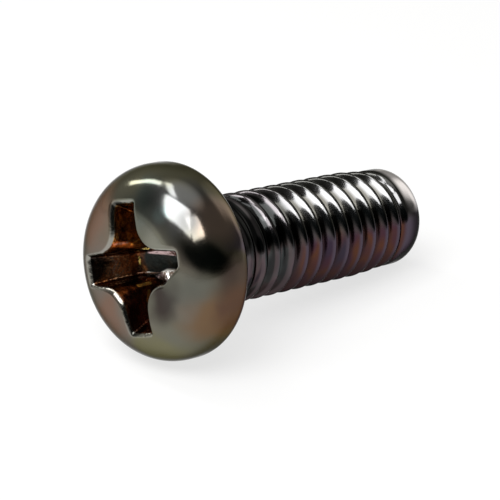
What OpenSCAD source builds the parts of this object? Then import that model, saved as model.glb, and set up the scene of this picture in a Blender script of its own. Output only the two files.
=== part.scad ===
// Machine screw, M2.5 x 0.45: a domed pan head with a cross recess on a rolled thread.
// It is one cold-headed piece. It lies on the rim of its head and the round of its point,
// with +X from head to point, +Z up and the origin on the ground under its middle.

/* [Thread] */
// Diameter over the thread's crests
thread_d = 2.45; // [2.4:0.01:2.8]
// Distance from one crest to the next
pitch = 0.45; // [0.35:0.05:0.6]
// Depth of a full groove below the crests
groove_depth = 0.24; // [0.12:0.01:0.28]
// Distance below the head at which the grooves begin
groove_start = 0.5; // [0.4:0.05:2]
// Length over which the grooves deepen below the head
groove_lead = 1.7; // [0.5:0.05:2]
// Length over which the last groove fades out at the point
groove_fade = 0.45; // [0.2:0.05:1]
// Turn of the thread about the screw's axis, in degrees
thread_turn = 104; // [0:1:359]

/* [Shank] */
// Length from the head's underside to the point
shank_l = 6.75; // [4.5:0.25:16]
// Diameter of the plain neck under the head
neck_d = 2.28; // [2.1:0.02:2.34]
// Length of the plain neck
neck_l = 0.22; // [0.2:0.02:0.4]
// Distance below the head at which the crests reach their full diameter
crest_start = 0.95; // [0.5:0.05:1.5]
// Fillet between the neck and the head's underside
fillet_r = 0.12; // [0.05:0.01:0.18]
// Diameter of the plain band behind the point
point_d = 2.31; // [2.1:0.01:2.4]
// Length over which the crests come down to that band
point_taper = 1.2; // [0.6:0.1:2]
// Length of that band
band_l = 0.2; // [0.1:0.02:0.4]
// Radius of the rounding at the point
point_r = 0.42; // [0.4:0.02:0.8]
// Length of the rounding at the point
point_l = 0.38; // [0.2:0.02:0.4]

/* [Head] */
// Head diameter
head_d = 4.36; // [4.2:0.02:5]
// Head height
head_h = 1.7; // [1.66:0.02:2.1]
// Radius of the shoulder between the head's side and its crown
shoulder_r = 1.1; // [0.8:0.05:1.15]
// Height of the shoulder's centre above the head's underside
shoulder_h = 0.54; // [0.4:0.02:0.56]
// Rounding of the rim at the head's underside
rim_r = 0.35; // [0.1:0.05:0.4]

/* [Recess] */
// Width of the cross from wing end to wing end at its mouth
cross_w = 2.92; // [2.4:0.02:3.2]
// Width of a wing's end at its mouth
wing_w = 0.64; // [0.5:0.02:0.8]
// Flare of each side of a wing towards the middle, in degrees
wing_flare = 4; // [0:0.5:6]
// Depth of the wing ends below the mouth
wing_depth = 1.1; // [0.8:0.05:1.2]
// Lean of the wing ends from the screw's axis, in degrees
end_lean = 26.5; // [20:0.5:32]
// Rounding of the upright corners at the wing ends
wing_r = 0.06; // [0.03:0.01:0.12]
// Draft on the sides of the wings, in degrees
side_draft = 4; // [1:0.5:6]
// Rounding between the wings at the mouth
corner_r = 0.6; // [0.3:0.05:0.7]
// Rounding between the wings at the depth of their ends
corner_foot = 0.25; // [0.15:0.05:0.35]
// Rounding of the mouth's lip
lip_r = 0.12; // [0.06:0.01:0.18]
// Slope of the floor down to its middle, in degrees
floor_slope = 21; // [5:1:25]
// Turn of the cross about the screw's axis, in degrees
cross_turn = 70; // [0:0.1:90]

/* [Hidden] */
$fn = 72;

thread_r = thread_d/2;
neck_r = neck_d/2;
band_r = point_d/2;
head_r = head_d/2;

// The crown is an arc on the axis that runs into the shoulder's arc.
shoulder_x = head_r - shoulder_r;
crown_rise = head_h - shoulder_h;
crown_r = (shoulder_x^2 + crown_rise^2 - shoulder_r^2)/(2*(crown_rise - shoulder_r));
crown_z = head_h - crown_r;
crown_angle = atan2(shoulder_x, shoulder_h - crown_z);

// Height of the head's surface above its underside, at a distance r from the axis.
function head_top(r) = r < crown_r*sin(crown_angle)
    ? crown_z + sqrt(crown_r^2 - r^2)
    : shoulder_h + sqrt(shoulder_r^2 - (r - shoulder_x)^2);

// Stations along the shank, measured from the head's underside.
round_start = shank_l - point_l;
band_start = round_start - band_l;
round_x = band_r - point_r;
end_r = round_x + sqrt(point_r^2 - point_l^2);

// At rest the ground touches two arcs: the rim of the head and the rounding of the point.
rest_run = round_start + rim_r;
rest_rise = head_r - rim_r - round_x;
rest_angle = atan2(rest_rise, rest_run) + asin((rim_r - point_r)/norm([rest_run, rest_rise]));
rest_h = rim_r + (head_r - rim_r)*cos(rest_angle) - rim_r*sin(rest_angle);
front_x = rest_angle < crown_angle
    ? -crown_z*cos(rest_angle) - crown_r
    : -shoulder_h*cos(rest_angle) - shoulder_x*sin(rest_angle) - shoulder_r;
back_x = shank_l*cos(rest_angle) + end_r*sin(rest_angle);

// The threaded core is a skin of helical rows, `levels` of them to a pitch. Its two ends
// are tucked into the neck and the point, this far under their surface.
tuck = 0.01;
sides = 24;
levels = 8;
core_start = neck_l - tuck - pitch;
last = ceil((band_start + tuck - core_start)/pitch*levels);

function ease(x) = let(t = min(1, max(0, x))) t*t*(3 - 2*t);
function groove(part) = 1 - min(1, max(0, 0.5 + 0.58*cos(360*part)));
function groove_share(z) = ease((z - groove_start)/groove_lead)*ease((band_start - z)/groove_fade);
function crest_r(z) = z < shank_l/2
    ? let(r = neck_r - tuck) r + (thread_r - r)*ease((z - neck_l)/(crest_start - neck_l))
    : let(r = band_r - tuck) r + (thread_r - r)*ease((band_start - z)/point_taper);

function core_point(row, side) = let(
    run = core_start + pitch*(row/levels + side/sides),
    over = max(0, run - band_start),
    r = crest_r(run) - groove_depth*groove_share(run)*groove(row/levels) - over/2,
    turn = 360*side/sides + thread_turn)
    [r*cos(turn), r*sin(turn), run - over/2];

// Number of a point in the skin; one side past the last is the first, a pitch further on.
function at(row, side) = side < sides ? row*sides + side : (row + levels)*sides + side - sides;

module threaded_core() {
    start_mid = (last + 1)*sides;
    end_mid = start_mid + 1;
    foot = core_point(last, sides/2)[2];
    polyhedron(
        points = [
            for (row = [0:last], side = [0:sides - 1]) core_point(row, side),
            [0, 0, core_start + pitch/2],
            [0, 0, foot]],
        faces = [
            for (side = [0:sides - 1], row = [0:last - 1 - (side < sides - 1 ? 0 : levels)])
                each [[at(row, side), at(row + 1, side), at(row + 1, side + 1)],
                    [at(row, side), at(row + 1, side + 1), at(row, side + 1)]],
            for (side = [0:sides - 1]) [start_mid, at(0, side), at(0, side + 1)],
            for (row = [0:levels - 1]) [start_mid, at(row + 1, 0), at(row, 0)],
            for (side = [0:sides - 2]) [end_mid, at(last, side + 1), at(last, side)],
            for (row = [last - levels:last - 1]) [end_mid, at(row, sides - 1), at(row + 1, sides - 1)],
            [end_mid, at(last, 0), at(last - levels, sides - 1)]]);
}

// Half of the head's section with the neck below it, x from the axis and y up from the underside.
module blank_section() {
    intersection() {
        translate([0, crown_z]) circle(crown_r, $fn = 720);
        polygon([[0, 0], [0, crown_z + 2*crown_r], [2*crown_r*tan(crown_angle), crown_z + 2*crown_r],
            [shoulder_x, shoulder_h], [shoulder_x, 0]]);
    }
    intersection() {
        translate([shoulder_x, shoulder_h]) circle(shoulder_r, $fn = 180);
        translate([0, shoulder_h]) square([head_r, head_h]);
    }
    translate([head_r - rim_r, rim_r]) circle(rim_r);
    polygon([[0, -neck_l], [neck_r, -neck_l], [neck_r, 0], [head_r - rim_r, 0], [head_r - rim_r, rim_r],
        [head_r, rim_r], [head_r, shoulder_h], [0, shoulder_h]]);
    difference() {
        translate([neck_r, -fillet_r]) square(fillet_r);
        translate([neck_r + fillet_r, -fillet_r]) circle(fillet_r);
    }
}

module point_section() {
    translate([0, band_start]) square([band_r, band_l]);
    intersection() {
        translate([round_x, round_start]) circle(point_r);
        translate([0, round_start]) square([band_r, point_l]);
    }
    translate([0, round_start]) square([round_x, point_l]);
}

// Point n of an eighth of the cross's outline, at a depth below its mouth and drawn outwards by
// out. It runs from the middle of a wing's end, round its corner and along its side, to the
// middle of the rounding between two wings.
function eighth_point(n, depth, out) = let(
    side_way = [sin(wing_flare), cos(wing_flare)],
    lean = tan(wing_flare),
    slant = 1/cos(wing_flare),
    reach = cross_w/2 - depth*tan(end_lean) + out,
    side = wing_w/2 - depth*tan(side_draft) + out*(slant - lean),
    tip = wing_r + out,
    tip_at = [reach - tip, side + tip*(lean - slant)],
    inner = max(0.02, corner_r - depth*(corner_r - corner_foot)/wing_depth - out),
    mid = (side + reach*lean + inner*slant)/(1 + lean),
    side_from = tip_at + tip*side_way,
    side_to = [mid, mid] - inner*side_way)
    n == 0 ? [reach, 0] :
    n < 5 ? let(a = (90 - wing_flare)*(n - 1)/3) tip_at + tip*[cos(a), sin(a)] :
    n < 7 ? side_from + (side_to - side_from)*(n - 4)/3 :
    let(a = 270 - wing_flare - (45 - wing_flare)*(n - 7)/3) [mid, mid] + inner*[cos(a), sin(a)];

// Point k of the whole outline, 20 points to a quarter.
outline_points = 80;
function cross_point(k, depth, out) = let(
    step = k%20,
    p = eighth_point(min(step, 20 - step), depth, out),
    q = step <= 10 ? p : [p[1], p[0]],
    a = 90*floor(k/20) + cross_turn)
    [q[0]*cos(a) - q[1]*sin(a), q[0]*sin(a) + q[1]*cos(a)];

// A ring of the outline's points that follows the crown, sunk under it by sink.
mouth = head_top(cross_w/2);
function crown_ring(out, sink) = [for (k = [0:outline_points - 1]) let(
    p = cross_point(k, 0, out),
    q = cross_point(k, mouth - head_top(norm(p)) + sink, out))
    [q[0], q[1], sink - head_top(norm(q))]];

// The punch: from above the crown, over the lip's rounding and down the walls to a cone.
module cross_recess() {
    skirt = lip_r + 0.3;
    low = wing_depth + 0.45;
    reach = cross_w/2 - wing_depth*tan(end_lean);
    rings = concat(
        [[for (p = crown_ring(skirt, 0)) [p[0], p[1], -head_h - 0.2]]],
        [crown_ring(skirt, -0.05)],
        [for (a = [12:19.5:90]) crown_ring(lip_r*(1 - sin(a)), lip_r*(1 - cos(a)))],
        [[for (k = [0:outline_points - 1]) let(p = cross_point(k, low, 0)) [p[0], p[1], low - mouth]]]);
    n = outline_points;
    end = (len(rings) - 1)*n;
    top_mid = end + n;
    low_mid = top_mid + 1;
    intersection() {
        polyhedron(
            points = concat([for (ring = rings, p = ring) p],
                [[0, 0, -head_h - 0.2], [0, 0, low - mouth]]),
            faces = [for (i = [0:n - 1]) let(j = (i + 1)%n) each concat(
                [[top_mid, i, j], [low_mid, end + j, end + i]],
                [for (m = [0:n:end - n]) each [[m + i, m + n + i, m + n + j], [m + i, m + n + j, m + j]]])]);
        rotate_extrude() polygon([[0, -head_h - 1], [head_r, -head_h - 1],
            [head_r, wing_depth - mouth - (head_r - reach)*tan(floor_slope)],
            [0, wing_depth - mouth + reach*tan(floor_slope)]]);
    }
}

module machine_screw() {
    color([0.30, 0.29, 0.27])
    translate([-(front_x + back_x)/2, 0, rest_h]) rotate([0, 90 + rest_angle, 0])
    difference() {
        union() {
            rotate([180, 0, 0]) rotate_extrude() blank_section();
            threaded_core();
            rotate_extrude() point_section();
        }
        cross_recess();
    }
}

machine_screw();
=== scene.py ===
import math

import bmesh
import bpy
from mathutils import Matrix, Vector


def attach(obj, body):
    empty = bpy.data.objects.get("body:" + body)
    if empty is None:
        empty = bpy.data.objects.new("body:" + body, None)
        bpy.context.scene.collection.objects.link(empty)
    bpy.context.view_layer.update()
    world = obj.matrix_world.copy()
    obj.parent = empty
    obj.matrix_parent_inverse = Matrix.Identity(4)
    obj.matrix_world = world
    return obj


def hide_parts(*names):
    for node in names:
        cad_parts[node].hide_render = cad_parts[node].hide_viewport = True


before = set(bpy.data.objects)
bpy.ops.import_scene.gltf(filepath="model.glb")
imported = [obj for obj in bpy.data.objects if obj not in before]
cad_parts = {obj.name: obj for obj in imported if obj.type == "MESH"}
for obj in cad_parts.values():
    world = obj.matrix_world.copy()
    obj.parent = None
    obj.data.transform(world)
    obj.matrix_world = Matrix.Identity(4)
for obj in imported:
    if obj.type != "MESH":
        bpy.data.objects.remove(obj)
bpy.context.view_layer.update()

# The machine screw: one piece of steel wire, headed cold, punched with a cross recess, rolled
# with a thread and plated in black nickel. It is modelled along its own axis in millimetres,
# with 0 at the head's underside and the point at +Z, then laid down as it comes to rest.
head_r, head_h = 2.18, 1.7
shoulder_r, shoulder_h = 1.1, 0.54
rim_r = 0.35
neck_r, neck_l, fillet_r = 1.14, 0.22, 0.12
thread_r, pitch, groove_depth = 1.225, 0.45, 0.24
groove_start, groove_lead, groove_fade = 0.5, 1.7, 0.45
first_crest, crest_start, thread_turn = 0.21, 0.95, math.radians(104)
shank_l, band_r, band_l = 6.75, 1.155, 0.2
point_taper, point_r, point_l = 1.2, 0.42, 0.38
columns, rows_per_pitch = 144, 22

shoulder_x = head_r - shoulder_r
crown_rise = head_h - shoulder_h
crown_r = (shoulder_x**2 + crown_rise**2 - shoulder_r**2)/(2*(crown_rise - shoulder_r))
crown_z = head_h - crown_r
crown_angle = math.atan2(shoulder_x, shoulder_h - crown_z)
round_start = shank_l - point_l
band_start = round_start - band_l
round_x = band_r - point_r
end_r = round_x + math.sqrt(point_r**2 - point_l**2)


def head_top(r):
    """Height of the head's surface above its underside at a distance r from the axis."""
    if r < crown_r*math.sin(crown_angle):
        return crown_z + math.sqrt(crown_r**2 - r**2)
    return shoulder_h + math.sqrt(max(0, shoulder_r**2 - (r - shoulder_x)**2))


def ease(x):
    """0 below 0, 1 above 1 and smooth in between."""
    t = min(1, max(0, x))
    return t*t*(3 - 2*t)


def groove_part(z, turn):
    """Pitches from the first crest: a whole number on a crest."""
    return (z - first_crest)/pitch - (turn - thread_turn)/(2*math.pi)


# A groove's section is part straight flank that rounds off at the crest, and part wave.
flank_part, flank_round, flank_low, flank_rise, wave_power = 0.3, 0.012, 0.11, 0.896, 1.15


def groove_share(z, turn):
    """How far the die has pressed a groove in: 0 on a crest, 1 at a full groove's root."""
    share = ease((z - groove_start)/groove_lead)*ease((band_start - z)/groove_fade)
    t = 1 - abs(2*(groove_part(z, turn) % 1) - 1)
    flank = (math.sqrt(t*t + flank_round) - flank_low)/flank_rise
    wave = (0.5 - 0.5*math.cos(math.pi*t))**wave_power
    return share*(flank_part*flank + (1 - flank_part)*wave)


def crest_radius(z):
    """Radius of the crests, which rise from the neck and come down to the point's band."""
    if z < shank_l/2:
        return neck_r + (thread_r - neck_r)*ease((z - neck_l)/(crest_start - neck_l))
    return band_r + (thread_r - band_r)*ease((band_start - z)/point_taper)


def arc(x, z, radius, start, end, steps):
    """Points of the section round (x, z), from one angle to another."""
    angles = [start + (end - start)*k/steps for k in range(steps + 1)]
    return [(x + radius*math.cos(a), z + radius*math.sin(a)) for a in angles]


# The section runs from the crown over the shoulder, the rim and the underside, down the neck
# and the shank to the point's end.
crown_edge = 1.9
shoulder_start = math.asin((crown_edge - shoulder_x)/shoulder_r) - math.pi/2
face_x, fillet_x = head_r - rim_r, neck_r + fillet_r
rows = round((band_start - fillet_r)/pitch*rows_per_pitch)
face_steps, end_steps = 6, 5
section = arc(shoulder_x, -shoulder_h, shoulder_r, shoulder_start, 0, 10)
section.append((head_r, -(shoulder_h + rim_r)/2))
section += arc(face_x, -rim_r, rim_r, 0, math.pi/2, 10)
section += [(face_x - (face_x - fillet_x)*k/face_steps, 0) for k in range(1, face_steps)]
section += arc(fillet_x, fillet_r, fillet_r, -math.pi/2, -math.pi, 8)
section += [(neck_r, fillet_r + (band_start - fillet_r)*k/rows) for k in range(1, rows + 1)]
section.append((band_r, (band_start + round_start)/2))
section += arc(round_x, round_start, point_r, 0, math.asin(point_l/point_r), 9)
section += [(end_r*(1 - k/end_steps), shank_l) for k in range(1, end_steps + 1)]

bm = bmesh.new()
verts = [bm.verts.new((r, 0, z)) for r, z in section]
edges = [bm.edges.new(pair) for pair in zip(verts, verts[1:])]
bmesh.ops.spin(bm, geom=verts + edges, cent=(0, 0, 0), axis=(0, 0, 1), angle=2*math.pi,
               steps=columns, use_merge=True)
bmesh.ops.remove_doubles(bm, verts=bm.verts, dist=1e-5)
in_groove = bm.verts.layers.float.new("in_groove")
in_recess = bm.verts.layers.float.new("in_recess")
by_crest = bm.verts.layers.float.new("by_crest")

# Rolling presses the grooves in: each point of the shank moves in by the groove's depth there.
# by_crest is 1 on a line just before each crest, where a gleam is painted.
gleam_at = 0.12
for v in bm.verts:
    if neck_l < v.co.z <= band_start + 1e-6:
        where = v.co.z, math.atan2(v.co.y, v.co.x)
        share = groove_share(*where)
        v.co.xy = v.co.xy.normalized()*(crest_radius(v.co.z) - groove_depth*share)
        v[in_groove] = share
        v[by_crest] = math.cos(2*math.pi*(groove_part(*where) + gleam_at))

# The punched cross: the crown's open edge is drawn in over the crown, over the rounded lip and
# down the walls to the conical floor. The punch has dragged one edge of a wing part way shut.
cross_reach, wing_half, wing_flare = 1.46, 0.32, math.radians(4)
wing_depth, end_lean, side_draft = 1.1, math.radians(26.5), math.radians(4)
wing_r, corner_r, corner_foot, corner_least, lip_r = 0.06, 0.6, 0.25, 0.02, 0.12
floor_slope, floor_round, cross_turn = math.radians(21), 0.06, math.radians(70)
mouth = head_top(cross_reach)
side_way = Vector((math.sin(wing_flare), math.cos(wing_flare)))
drag_at, drag_way, drag_side = Vector((-0.97, -0.38)), Vector((-0.625, -0.781)), -0.8
# Each eighth of its outline has 18 points: 2 along the wing's end, 4 round the end's corner,
# 5 along the wing's side and 7 round the inner corner.
eighth, end_last, tip_last, side_last = columns//8, 2, 6, 11
crown_rings, lip_rings, wall_rings, floor_rings, foot_tries = 12, 6, 8, 8, 6


def turned(centre, radius, a):
    """The point of a circle at angle a."""
    return centre + radius*Vector((math.cos(a), math.sin(a)))


def cross_point(k, depth, out):
    """Point k of the cross's outline at a depth below its mouth, drawn outwards by out."""
    lean, slant = math.tan(wing_flare), 1/math.cos(wing_flare)
    reach = cross_reach - depth*math.tan(end_lean) + out
    side = wing_half - depth*math.tan(side_draft) + out*(slant - lean)
    tip = wing_r + out
    tip_at = Vector((reach - tip, side + tip*(lean - slant)))
    inner = max(corner_least, corner_r - depth*(corner_r - corner_foot)/wing_depth - out)
    mid = Vector((1, 1))*(side + reach*lean + inner*slant)/(1 + lean)
    quarter, step = divmod(k, 2*eighth)
    n = min(step, 2*eighth - step)
    if n < end_last:
        p = Vector((reach, tip_at.y*n/end_last))
    elif n < tip_last:
        p = turned(tip_at, tip, (math.pi/2 - wing_flare)*(n - end_last)/(tip_last - end_last))
    elif n < side_last:
        side_share = (n - tip_last)/(side_last - tip_last)
        p = (tip_at + tip*side_way).lerp(mid - inner*side_way, side_share)
    else:
        bend = (math.pi/4 - wing_flare)*(n - side_last)/(eighth - side_last)
        p = turned(mid, inner, math.pi*1.5 - wing_flare - bend)
    if step > eighth:
        p = Vector((p.y, p.x))
    p.rotate(Matrix.Rotation(quarter*math.pi/2, 2))
    shut = (p - drag_at).dot(drag_way) - out
    if p.x < drag_side and shut > 0:
        p -= shut*drag_way
    p.rotate(Matrix.Rotation(cross_turn, 2))
    return p


def crown_point(k, out, sink):
    """The outline's point k laid on the crown and sunk under it."""
    p = cross_point(k, 0, out)
    p = cross_point(k, mouth - head_top(p.length) + sink, out)
    return Vector((p.x, p.y, sink - head_top(p.length)))


def floor_z(r):
    """The cone of the recess's floor, rounded in its middle."""
    dip = cross_reach - wing_depth*math.tan(end_lean) - math.sqrt(r*r + floor_round**2)
    return wing_depth - mouth + dip*math.tan(floor_slope)


def draw_in(ring, places):
    """Extrudes the open edge once and moves each new point to its place."""
    edge = [e for e in bm.edges if e.is_boundary]
    made = bmesh.ops.extrude_edge_only(bm, edges=edge)["geom"]
    new = {v.co.to_tuple(6): v for v in made if isinstance(v, bmesh.types.BMVert)}
    new = [new[v.co.to_tuple(6)] for v in ring]
    for v, place in zip(new, places):
        v.co = place
    return new


def heading(v):
    """Angle of a point about the axis from the first wing, with a hair added for rounding."""
    return (math.atan2(v.co.y, v.co.x) - cross_turn + 1e-4) % (2*math.pi)


ring = sorted((v for v in bm.verts if v.is_boundary), key=heading)
crown_hole = [v.co.xy.copy() for v in ring]
lip_edge = [crown_point(k, lip_r, 0).xy for k in range(columns)]
for s in range(1, crown_rings + 1):
    way = [p.lerp(q, s/crown_rings) for p, q in zip(crown_hole, lip_edge)]
    ring = draw_in(ring, [Vector((p.x, p.y, -head_top(p.length))) for p in way])
for s in range(1, lip_rings + 1):
    a = math.pi/2*s/lip_rings
    ring = draw_in(ring, [crown_point(k, lip_r*(1 - math.sin(a)), lip_r*(1 - math.cos(a)))
                          for k in range(columns)])
    for v in ring:
        v[in_recess] = s/lip_rings

# Each wall goes down to where it meets the floor, which a few tries find.
wall_top, wall_foot = [v.co.z for v in ring], []
for k in range(columns):
    z = wing_depth - mouth
    for _ in range(foot_tries):
        z = floor_z(cross_point(k, z + mouth, 0).length)
    wall_foot.append(z)
for s in range(1, wall_rings + 1):
    level = [t + (f - t)*s/wall_rings for t, f in zip(wall_top, wall_foot)]
    ring = draw_in(ring, [Vector((*cross_point(k, z + mouth, 0), z)) for k, z in enumerate(level)])
    for v in ring:
        v[in_recess] = 1
floor_edge = [v.co.xy.copy() for v in ring]
for s in range(1, floor_rings):
    part = 1 - s/floor_rings
    ring = draw_in(ring, [Vector((*(p*part), floor_z(p.length*part))) for p in floor_edge])
    for v in ring:
        v[in_recess] = 1
bmesh.ops.pointmerge(bm, verts=ring, merge_co=(0, 0, floor_z(0)))
bmesh.ops.recalc_face_normals(bm, faces=bm.faces)

# At rest the ground touches the rim of the head and the rounding of the point.
rest_run, rest_rise = round_start + rim_r, head_r - rim_r - round_x
tilt = (math.atan2(rest_rise, rest_run)
        + math.asin((rim_r - point_r)/math.hypot(rest_run, rest_rise)))
rest_h = rim_r + (head_r - rim_r)*math.cos(tilt) - rim_r*math.sin(tilt)
front_x = -shoulder_h*math.cos(tilt) - shoulder_x*math.sin(tilt) - shoulder_r
back_x = shank_l*math.cos(tilt) + end_r*math.sin(tilt)
underside = Vector((-(front_x + back_x)/2, 0, rest_h))
lay_down = (Matrix.Scale(0.001, 4) @ Matrix.Translation(underside)
            @ Matrix.Rotation(math.pi/2 + tilt, 4, "Y"))
bmesh.ops.transform(bm, matrix=lay_down, verts=bm.verts)
for face in bm.faces:
    face.smooth = True
mesh = bpy.data.meshes.new("machine_screw_plated")
bm.to_mesh(mesh)
bm.free()
screw = bpy.data.objects.new("machine_screw_plated", mesh)
bpy.context.collection.objects.link(screw)


class Wire:
    """A shader socket that can stand in a sum. Each step of the sum adds its Math node."""

    def __init__(self, finish, socket):
        self.finish, self.socket = finish, socket

    def math(self, operation, *values):
        return self.finish.node("Math", {"operation": operation}, dict(enumerate(values)))

    def __add__(self, other):
        return self.math("ADD", self, other)

    def __sub__(self, other):
        return self.math("SUBTRACT", self, other)

    def __rsub__(self, other):
        return self.math("SUBTRACT", other, self)

    def __mul__(self, other):
        return self.math("MULTIPLY", self, other)

    def __truediv__(self, other):
        return self.math("DIVIDE", self, other)

    def __rtruediv__(self, other):
        return self.math("DIVIDE", other, self)

    def __abs__(self):
        return self.math("ABSOLUTE", self)

    __radd__, __rmul__ = __add__, __mul__


class Finish:
    """A material whose nodes are added one by one."""

    def __init__(self, name, tree=None):
        if tree is None:
            self.material = bpy.data.materials.new(name)
            self.material.use_nodes = True
            tree = self.material.node_tree
        self.tree = tree

    def node(self, kind, settings=None, inputs=None, output=0):
        """Adds a node and gives one of its outputs."""
        made = self.tree.nodes.new("ShaderNode" + kind)
        for key, value in (settings or {}).items():
            if key == "stops":
                ramp = made.color_ramp
                while len(ramp.elements) < len(value):
                    ramp.elements.new(1)
                for element, (position, colour) in zip(ramp.elements, value):
                    element.position, element.color = position, (*colour, 1)
            else:
                setattr(made, key, value)
        self.feed(made, inputs or {})
        return Wire(self, made.outputs[output])

    def feed(self, made, inputs):
        """Links or sets a node's sockets."""
        for key, value in inputs.items():
            if isinstance(value, Wire):
                self.tree.links.new(value.socket, made.inputs[key])
            else:
                made.inputs[key].default_value = value

    def blend(self, share, first, second):
        """Colour first, giving way to second where share is 1."""
        first, second = ((*c, 1) if isinstance(c, tuple) else c for c in (first, second))
        return self.node("Mix", {"data_type": "RGBA"}, {0: share, 6: first, 7: second}, 2)

    def fade(self, value, low, high):
        """0 where value is at low, 1 where it is at high, smooth in between."""
        return self.node("MapRange", {"interpolation_type": "SMOOTHSTEP"},
                         {"Value": value, "From Min": low, "From Max": high})

    def dot(self, vector, way):
        """How far a vector reaches along a way."""
        return self.node("VectorMath", {"operation": "DOT_PRODUCT"}, {0: vector, 1: way}, "Value")

    def distance(self, vector, place):
        """How far a vector's end is from a place."""
        return self.node("VectorMath", {"operation": "DISTANCE"}, {0: vector, 1: place}, "Value")

    def noise(self, vector, scale, detail, output="Fac"):
        """Cloudy noise of scale patches to a millimetre."""
        return self.node("TexNoise", {}, {"Vector": vector, "Scale": scale, "Detail": detail},
                         output)


# Black nickel over steel. Places are in millimetres from the middle of the head's underside:
# x from the head to the point, z up. `along` and `height` follow the screw's own axis.
plate = Finish("black_nickel_plate")
shader = plate.tree.nodes["Principled BSDF"]
metres = plate.node("TexCoord", output="Object")
mm = plate.node("VectorMath", {"operation": "MULTIPLY_ADD"},
                {0: metres, 1: (1000, 1000, 1000), 2: tuple(-underside)})
along = plate.dot(mm, (math.cos(tilt), 0, -math.sin(tilt)))
height = plate.dot(mm, (math.sin(tilt), 0, math.cos(tilt)))
sideways = plate.dot(mm, (0, 1, 0))
groove, recess, crest = (plate.node("Attribute", {"attribute_name": name}, output="Fac")
                         for name in ("in_groove", "in_recess", "by_crest"))

# A slow noise shifts the edges of the head's patches. Its middle is taken off their centres.
shift = 0.9
wander = plate.noise(mm, 1.3, 1.5, output="Color")
soft = plate.node("VectorMath", {"operation": "MULTIPLY_ADD"}, {0: wander, 1: (shift,)*3, 2: mm})


def patch(centre, radius, edge):
    """A wavering round patch about a place, full out to the share `edge` of its radius."""
    middle = tuple(Vector(centre) + Vector((shift/2,)*3))
    return 1 - plate.fade(plate.distance(soft, middle), radius*edge, radius)


def spot(centre, radius, edge):
    """A round patch with an even edge."""
    return 1 - plate.fade(plate.distance(mm, centre), radius*edge, radius)


def mark(start, end, width):
    """A fine straight mark on the surface, from one place to another."""
    start, way = Vector(start), Vector(end) - Vector(start)
    share = (plate.dot(mm, tuple(way)) - start.dot(way))/way.length_squared
    share = plate.node("Clamp", {}, {"Value": share})
    nearest = plate.node("VectorMath", {"operation": "MULTIPLY_ADD"},
                         {0: share, 1: tuple(way), 2: tuple(start)})
    return 1 - plate.fade(plate.distance(mm, nearest), width*0.4, width)


# The head: olive on the crown, darker at the side, with patches of thinner and thicker nickel.
# Some spots are painted light and shade.
olive, straw, dark_olive = (0.140, 0.136, 0.104), (0.158, 0.140, 0.118), (0.098, 0.088, 0.057)
rose, plum, teal = (0.195, 0.118, 0.085), (0.060, 0.038, 0.042), (0.100, 0.130, 0.125)
head = plate.blend(plate.fade(plate.noise(mm, 0.55, 1.0), 0.42, 0.62), olive, straw)
head = plate.blend(plate.fade(along, -1.15, -0.55), head, dark_olive)
for centre, radius, edge, share, tint in (
        ((-0.58, 0.10, 2.23), 1.3, 0.3, 0.8, (0.165, 0.160, 0.108)),
        ((-1.39, 1.34, 1.03), 1.0, 0.3, 0.9, rose),
        ((-1.77, 0.54, -0.97), 0.8, 0.2, 0.9, rose),
        ((-1.50, -0.80, -1.45), 0.9, 0.4, 0.9, (0.165, 0.155, 0.088)),
        ((-0.92, -2.04, -0.52), 1.0, 0.3, 0.9, (0.145, 0.085, 0.042)),
        ((-1.66, -1.19, -0.12), 0.6, 0.2, 0.9, (0.034, 0.024, 0.022)),
        ((-0.55, -2.15, -0.15), 0.45, 0.2, 0.8, plum),
        ((-0.18, -1.88, 1.14), 0.5, 0.2, 0.8, (0.13, 0.10, 0.14)),
        ((-0.25, -2.16, 0.28), 0.45, 0.2, 0.8, (0.21, 0.165, 0.11)),
        # Painted reflection: a near black patch low on the side, standing for a dark room mirrored
        # there.
        ((-0.60, -2.10, 0.60), 0.45, 0.1, 0.8, (0.030, 0.030, 0.028)),
        ((-1.40, -1.70, 0.25), 0.8, 0.1, 0.6, (0.085, 0.090, 0.078)),
        ((-1.25, -0.20, 1.80), 0.8, 0.2, 0.8, teal),
        ((-0.95, -0.95, 1.80), 0.9, 0.3, 1.0, (0.155, 0.158, 0.158))):
    head = plate.blend(patch(centre, radius, edge)*share, head, tint)
for centre, radius, edge, share, tint in (
        ((-1.43, -0.75, 1.05), 0.5, 0.2, 0.8, (0.22, 0.22, 0.18)),
        # Painted highlight: a paler, warmer plate under the window's highlight that brightens it.
        ((-0.50, -1.60, 1.62), 0.75, 0.3, 0.9, (0.32, 0.235, 0.185)),
        ((-0.45, -2.15, 0.30), 0.85, 0.3, 0.85, (0.052, 0.033, 0.025)),
        # Painted shade that dims the middle of the window's highlight, then a pale teal painted
        # glow at its edge.
        ((-1.03, -1.27, 1.60), 0.42, 0.2, 0.9, (0.082, 0.082, 0.080)),
        ((-1.29, -0.67, 1.64), 0.28, 0.2, 0.8, (0.19, 0.24, 0.235)),
        ((-0.50, -2.10, -0.30), 0.75, 0.4, 0.8, (0.100, 0.052, 0.030))):
    head = plate.blend(spot(centre, radius, edge)*share, head, tint)

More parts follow.
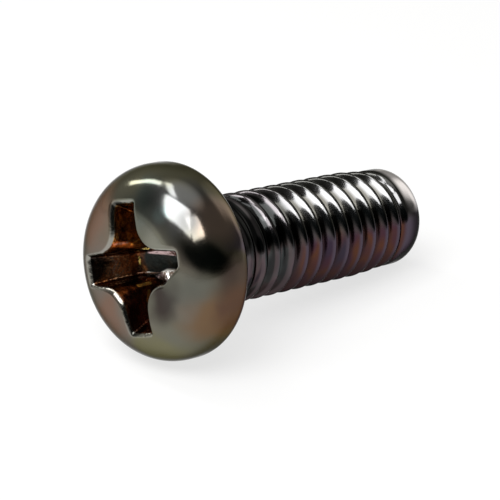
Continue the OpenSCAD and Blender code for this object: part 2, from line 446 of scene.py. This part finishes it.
# The thread, with painted light and shade: bright flanks above that carry the window's highlights,
# painted dark crests and roots, and the far side painted near black. Below, violet to red-brown,
# which drifts from turn to turn, with painted shade in the roots and toward the bottom.
turns = plate.node("CombineXYZ", {}, {0: along*3.0, 1: sideways*0.8, 2: height*0.8})
hue = plate.node("ValToRGB", {"stops": [
    (0.32, (0.028, 0.019, 0.036)), (0.43, (0.052, 0.020, 0.029)), (0.52, (0.082, 0.030, 0.015)),
    (0.61, (0.060, 0.023, 0.023)), (0.72, (0.031, 0.023, 0.036))]},
    {"Fac": plate.noise(turns, 0.9, 1.5)})
upper = plate.blend(plate.fade(groove, 0.0, 0.12), (0.060, 0.060, 0.054), (0.155, 0.155, 0.157))
upper = plate.blend(plate.fade(groove, 0.35, 0.75), upper, (0.045, 0.043, 0.037))
# Painted shade: the far side of the upper half is near black.
upper = plate.blend(plate.fade(sideways, -0.35, 0.05)*0.85, upper, (0.026, 0.026, 0.022))
lower = plate.blend(plate.fade(groove, 0.0, 0.24), (0.066, 0.050, 0.070), hue)
# Painted shade in the roots and on the underside.
lower = plate.blend(plate.fade(groove, 0.45, 0.95)*0.9, lower, (0.018, 0.008, 0.010))
lower = plate.blend(plate.fade(height, -0.15, -0.95)*0.9, lower, (0.022, 0.010, 0.011))
shank = plate.blend(plate.fade(height, 0.15, 0.65), lower, upper)

# The neck and the first turns are painted dark, which hides the window's highlights there, with a
# thin painted gleam before each crest and painted shade toward the bottom.
streaks = plate.node("ValToRGB", {"stops": [
    (0.36, (0.014, 0.018, 0.019)), (0.47, (0.040, 0.047, 0.047)),
    (0.56, (0.070, 0.050, 0.053)), (0.66, (0.020, 0.016, 0.022))]},
    {"Fac": plate.noise(turns, 1.5, 1.0)})
streaks = plate.blend(plate.fade(height, -0.2, -0.8)*0.8, streaks, (0.012, 0.006, 0.005))
crest_line = plate.fade(crest, 0.70, 0.95)
streaks = plate.blend(crest_line*0.5, streaks, (0.110, 0.080, 0.086))
gleam = plate.blend(crest_line, (0.005, 0.006, 0.006), (0.100, 0.092, 0.096))
streaks = plate.blend(plate.fade(height, 0.1, 0.5), streaks, gleam)
shank = plate.blend((1 - plate.fade(along, 2.1, 2.8))*0.92, shank, streaks)

# The point: painted shade makes it near black below, and a painted highlight, a near white plate,
# lies on its upper edge.
under_point = plate.fade(along, 6.15, 6.4)*(1 - plate.fade(height, 0.55, 0.9))
shank = plate.blend(under_point*0.9, shank, (0.013, 0.010, 0.013))
painted_point_highlight = spot((6.62, -0.45, 0.10), 0.95, 0.6)*plate.fade(along, 6.10, 6.28)
shank = plate.blend(painted_point_highlight*0.95, shank, (0.95, 0.91, 0.93))
colour = plate.blend(plate.fade(along, 0.05, 0.5), head, shank)

# In the recess the plating is thin: red-brown and amber with brown stains. Painted shade makes it
# near black at the bottom and in one wing's end.
punched = plate.blend(plate.fade(plate.noise(mm, 3.0, 3.0), 0.40, 0.68),
                      (0.060, 0.030, 0.016), (0.27, 0.10, 0.03))
for centre, radius, tint in (((-1.20, 0.65, 1.0), 0.9, (0.82, 0.44, 0.12)),
                             ((-1.40, -0.05, -0.95), 0.8, (0.26, 0.09, 0.045)),
                             ((-1.00, 1.05, -0.15), 0.5, (0.28, 0.165, 0.09))):
    punched = plate.blend(spot(centre, radius, 0.4)*0.9, punched, tint)
stain = plate.fade(plate.noise(mm, 4.0, 2.0), 0.48, 0.64)*0.8
punched = plate.blend(stain, punched, (0.04, 0.02, 0.015))
# Painted shade: near black at the recess's bottom and in one wing's end.
punched = plate.blend(spot((-0.32, 0.36, -0.05), 0.52, 0.8)*0.96, punched, (0.010, 0.014, 0.013))
punched = plate.blend(spot((-1.50, 1.38, -0.20), 0.42, 0.6)*0.9, punched, (0.010, 0.010, 0.010))

# Painted glints: fine gold marks on some edges, and a pale painted highlight line across the upper
# wing.
for start, end, width in (((-1.02, 0.56, 0.48), (-0.87, 0.51, 0.55), 0.05),
                          ((-0.69, 0.55, 0.26), (-0.60, 0.52, 0.24), 0.05),
                          ((-0.51, 0.91, -0.12), (-0.54, 0.86, -0.26), 0.03),
                          ((-1.10, 0.28, -0.40), (-0.83, 0.21, -0.40), 0.06),
                          ((-0.96, 0.10, -0.51), (-1.07, 0.02, -0.69), 0.05)):
    punched = plate.blend(mark(start, end, width), punched, (0.98, 0.76, 0.24))
painted_glint_line = mark((-1.45, 0.63, 0.57), (-1.13, 0.58, 0.55), 0.045)
punched = plate.blend(painted_glint_line, punched, (0.92, 0.72, 0.66))

# A pale painted highlight band crosses the wall above the painted black bottom. Below it a painted
# highlight runs along the wall's foot, wider at one end.
up_wall = plate.dot(mm, (0, 0.11, 1))
band = plate.fade(up_wall, 0.07, 0.10)*(1 - plate.fade(up_wall, 0.24, 0.27))
band = band*spot((-0.27, 0.36, 0.13), 0.45, 0.8)
punched = plate.blend(band*0.8, punched, (0.66, 0.48, 0.48))
from_foot = plate.dot(mm, (0.293, 0.221, 0.929)) + 0.385
along_foot = plate.dot(mm, (0.306, -0.944, 0.128))
highlight_width = 0.032 + 0.12*plate.fade(along_foot, -0.56, -0.30)
painted_foot_highlight = (1 - plate.fade(abs(from_foot)/highlight_width, 0.6, 1.0))*plate.fade(along_foot, -0.88, -0.80)
painted_foot_highlight = painted_foot_highlight*spot((-0.42, 0.42, -0.36), 0.55, 0.9)
punched = plate.blend(painted_foot_highlight, punched, (0.95, 0.93, 0.90))
colour = plate.blend(plate.fade(recess, 0.8, 1.0), colour, punched)

# The lip is painted pale so it shows bright highlights, and along two stretches it is painted near
# black, a dark reflection.
painted_pale_lip = plate.fade(recess, 0.25, 0.5)*(1 - plate.fade(recess, 0.85, 1.0))
colour = plate.blend(painted_pale_lip*0.5, colour, (0.42, 0.42, 0.38))
for centre, out_way, lip_at in (((-1.42, 0.74, 1.15), (-0.63, -0.63, 0.46), 0.93),
                                ((-1.68, -0.04, -0.87), (-0.18, -0.89, 0.41), -0.03)):
    shade = spot(centre, 0.5, 0.8)*plate.fade(plate.dot(mm, out_way), lip_at - 0.06, lip_at)
    colour = plate.blend(shade*plate.fade(recess, 0.3, 0.6)*0.8, colour, (0.012, 0.014, 0.013))

# Bright plate with faint waves on it, scored and duller in the recess.
grain = plate.noise(mm, 22.0, 2.0)
roughness = 0.07 + 0.09*plate.noise(mm, 1.6, 2.0) + 0.04*grain + 0.10*recess
waves = plate.noise(mm, 0.9, 1.0)*0.7 + grain*0.01
scores = plate.noise(mm, 9.0, 3.0)*recess*0.5
bump = plate.node("Bump", {}, {"Strength": 0.25, "Distance": 0.0002, "Height": waves + scores})
plate.feed(shader, {"Base Color": colour, "Metallic": 1.0, "Roughness": roughness,
                    "Normal": bump, "Specular Tint": (0.30, 0.30, 0.29, 1),
                    "Coat Weight": 0.15, "Coat Roughness": 0.04})
mesh.materials.append(plate.material)
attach(screw, "root")
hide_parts("machine_screw")


# The studio's floor: a plain sheet of white paper that runs on past the picture's edges.
# The camera and the bright plate see it white, and it keeps the screw's shadow.
bm = bmesh.new()
sheet_half = 0.6
bmesh.ops.create_grid(bm, x_segments=1, y_segments=1, size=sheet_half)
mesh = bpy.data.meshes.new("floor")
bm.to_mesh(mesh)
bm.free()
floor = bpy.data.objects.new("floor", mesh)
bpy.context.collection.objects.link(floor)
paper = Finish("white_paper")
paper_shade, white_share = (0.84, 0.84, 0.84, 1), 0.72
white = paper.node("Emission", {}, {"Color": (1, 1, 1, 1), "Strength": 1.0})
camera_ray, glossy_ray, clear_ray = (
    paper.node("LightPath", output=kind)
    for kind in ("Is Camera Ray", "Is Glossy Ray", "Is Transmission Ray"))
seen = camera_ray + glossy_ray + clear_ray
seen = seen.math("MINIMUM", seen, 1.0)
sheet = paper.tree.nodes["Principled BSDF"]
paper.feed(sheet, {"Base Color": paper_shade, "Roughness": 0.9, "Specular IOR Level": 0.1})
mixed = paper.node("MixShader", {}, {0: seen*white_share, 1: Wire(paper, sheet.outputs[0]),
                                     2: white})
paper.feed(paper.tree.nodes["Material Output"], {"Surface": mixed})
mesh.materials.append(paper.material)


# Soft lights: three boxes in a bent row up on the left stand for one long window, which gives
# the head its bright patch and the thread its row of gleams. A thin strip lights the crown's
# far edge.
lamp_distance, lamp_aim = 0.12, Vector((-0.001, 0, 0.002))
for name, facing, wide, high, radiance, roll in (
        ("window", (-0.55, -0.02, 0.835), 0.078, 0.070, 7.0, 0.22),
        ("window_far_end", (-0.10, 0.32, 0.93), 0.054, 0.018, 5.0, 0.35),
        ("window_near_end", (-0.39, -0.44, 0.80), 0.056, 0.044, 5.5, 0.3),
        ("strip", (-0.08, 0.74, 0.66), 0.018, 0.070, 7.5, 0.0)):
    lamp = bpy.data.lights.new(name, "AREA")
    lamp.shape = "RECTANGLE"
    lamp.size, lamp.size_y = wide, high
    lamp.energy = radiance*math.pi*wide*high
    facing = Vector(facing).normalized()
    turn = facing.to_track_quat("Z", "Y").to_matrix().to_4x4() @ Matrix.Rotation(roll, 4, "Z")
    box = bpy.data.objects.new(name, lamp)
    box.matrix_world = Matrix.Translation(facing*lamp_distance + lamp_aim) @ turn
    bpy.context.collection.objects.link(box)


# The room: dim walls that are brighter behind the screw, near the floor, overhead and past the
# point, with a dark patch round the camera. It has no picture, only soft levels.
world = bpy.data.worlds.new("room")
bpy.context.scene.world = world
world.use_nodes = True
room = Finish("room", world.node_tree)
way = room.node("TexCoord", output="Generated")
light = 0.12
for level, towards, low, high in ((0.25, (0.5, 0.85, 0), 0.1, 0.8),
                                  (0.15, (0, 1, 0), 0.6, 0.9),
                                  (0.25, (1, 0, 0), -0.6, -0.95),
                                  (0.5, (0, 0, 1), 0.2, 0.02),
                                  (0.7, (0.12, 0.12, 0.985), 0.86, 1.0),
                                  (0.8, (0.92, -0.04, 0.39), 0.90, 0.99)):
    light = light + level*room.fade(room.dot(way, towards), low, high)
across, up = room.dot(way, (0.92, -0.60, -0.21)), room.dot(way, (1.10, 0.76, 2.65))
near = room.dot(way, (-0.429, -0.807, 0.407))
dark = (1 - room.fade(across*across + up*up, 0.5, 1.3))*room.fade(near, 0.1, 0.3)
walls = room.node("CombineColor", {}, {0: light, 1: light*0.98, 2: light*0.92})
walls = room.blend(dark, walls, (0.006, 0.010, 0.010))
room.feed(world.node_tree.nodes["Background"], {"Color": walls, "Strength": 1.0})

# The camera looks down on the head from the front, close by with a long lens. Its place and
# lens were fitted to the outline of the screw and of its recess.
camera_dip, camera_turn = math.radians(24.6186), math.radians(-44.3589)
lens = bpy.data.cameras.new("camera")
lens.lens = 165.29
lens.clip_start, lens.clip_end = 0.005, 5
camera = bpy.data.objects.new("camera", lens)
camera.location = (-0.0334019, -0.0336539, 0.0232227)
camera.rotation_euler = (math.pi/2 - camera_dip, 0, camera_turn)
bpy.context.collection.objects.link(camera)
bpy.context.scene.camera = camera
bpy.context.scene.view_settings.view_transform = "Standard"
